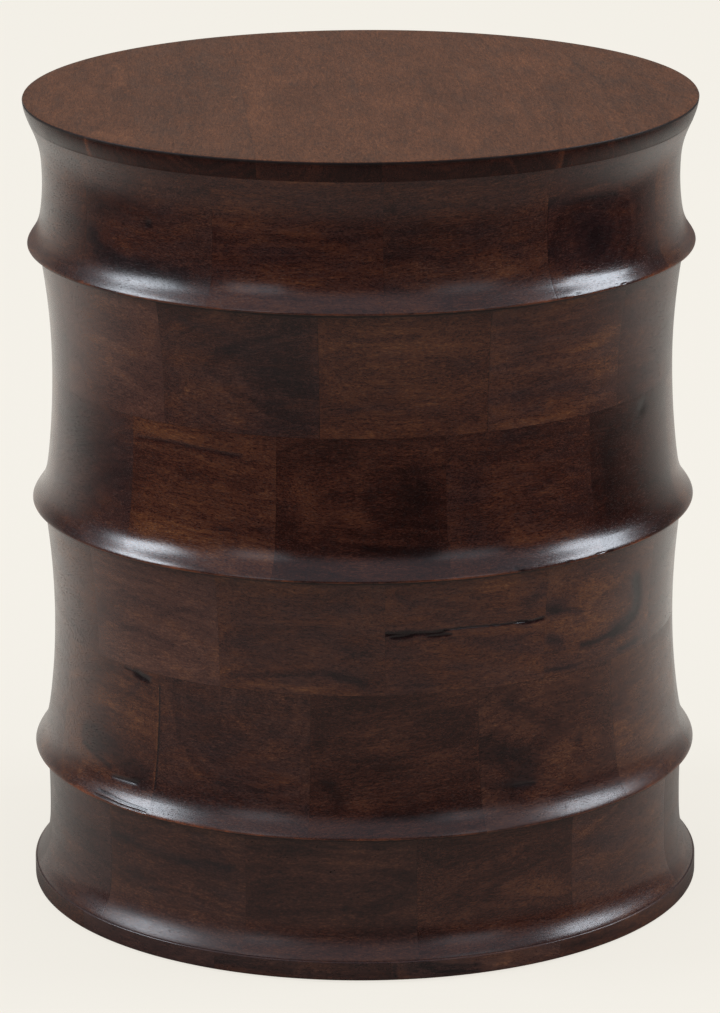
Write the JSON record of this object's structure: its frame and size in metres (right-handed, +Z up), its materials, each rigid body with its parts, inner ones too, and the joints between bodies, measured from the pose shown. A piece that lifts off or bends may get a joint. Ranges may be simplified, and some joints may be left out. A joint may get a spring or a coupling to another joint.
{
  "type": "drum side table",
  "caption": "Round solid-wood drum side table: hollow turned drum of glued blocks with three turned ridges, flared rim and foot, and a flat board top.",
  "frame": {"origin": "on the floor, in the middle of the foot", "axes": "+Z up along the drum's axis, -Y the front, +X to the right seen from the front"},
  "size_m": [0.4188, 0.4188, 0.5],
  "materials": {
    "top_wood": "dark stain, satin lacquer",
    "drum_wood": "dark stain, satin lacquer outside, bare sawn wood inside",
    "glide_nylon": "natural nylon",
    "nail_steel": "bright zinc"
  },
  "bodies": {
    "root": {"base_segment_01": "drum_wood", "base_segment_02": "drum_wood", "base_segment_03": "drum_wood", "base_segment_04": "drum_wood", "base_segment_05": "drum_wood", "base_segment_06": "drum_wood", "base_segment_07": "drum_wood", "base_segment_08": "drum_wood", "base_segment_09": "drum_wood", "base_segment_10": "drum_wood", "base_segment_11": "drum_wood", "base_segment_12": "drum_wood", "course_1_blocks_01_07": "drum_wood", "course_1_blocks_02_08": "drum_wood", "course_1_blocks_03_09": "drum_wood", "course_1_blocks_04_10": "drum_wood", "course_1_blocks_05_11": "drum_wood", "course_1_blocks_06_12": "drum_wood", "course_2_blocks_01_07": "drum_wood", "course_2_blocks_02_08": "drum_wood", "course_2_blocks_03_09": "drum_wood", "course_2_blocks_04_10": "drum_wood", "course_2_blocks_05_11": "drum_wood", "course_2_blocks_06_12": "drum_wood", "course_3_blocks_01_07": "drum_wood", "course_3_blocks_02_08": "drum_wood", "course_3_blocks_03_09": "drum_wood", "course_3_blocks_04_10": "drum_wood", "course_3_blocks_05_11": "drum_wood", "course_3_blocks_06_12": "drum_wood", "course_4_blocks_01_07": "drum_wood", "course_4_blocks_02_08": "drum_wood", "course_4_blocks_03_09": "drum_wood", "course_4_blocks_04_10": "drum_wood", "course_4_blocks_05_11": "drum_wood", "course_4_blocks_06_12": "drum_wood", "course_5_blocks_01_07": "drum_wood", "course_5_blocks_02_08": "drum_wood", "course_5_blocks_03_09": "drum_wood", "course_5_blocks_04_10": "drum_wood", "course_5_blocks_05_11": "drum_wood", "course_5_blocks_06_12": "drum_wood", "course_6_blocks_01_07": "drum_wood", "course_6_blocks_02_08": "drum_wood", "course_6_blocks_03_09": "drum_wood", "course_6_blocks_04_10": "drum_wood", "course_6_blocks_05_11": "drum_wood", "course_6_blocks_06_12": "drum_wood", "floor_glides": "glide_nylon", "glide_nails": "nail_steel", "top_board_1": "top_wood", "top_board_2": "top_wood", "top_board_3": "top_wood", "top_board_4": "top_wood", "top_board_5": "top_wood", "top_board_6": "top_wood"}
  },
  "joints": []
}
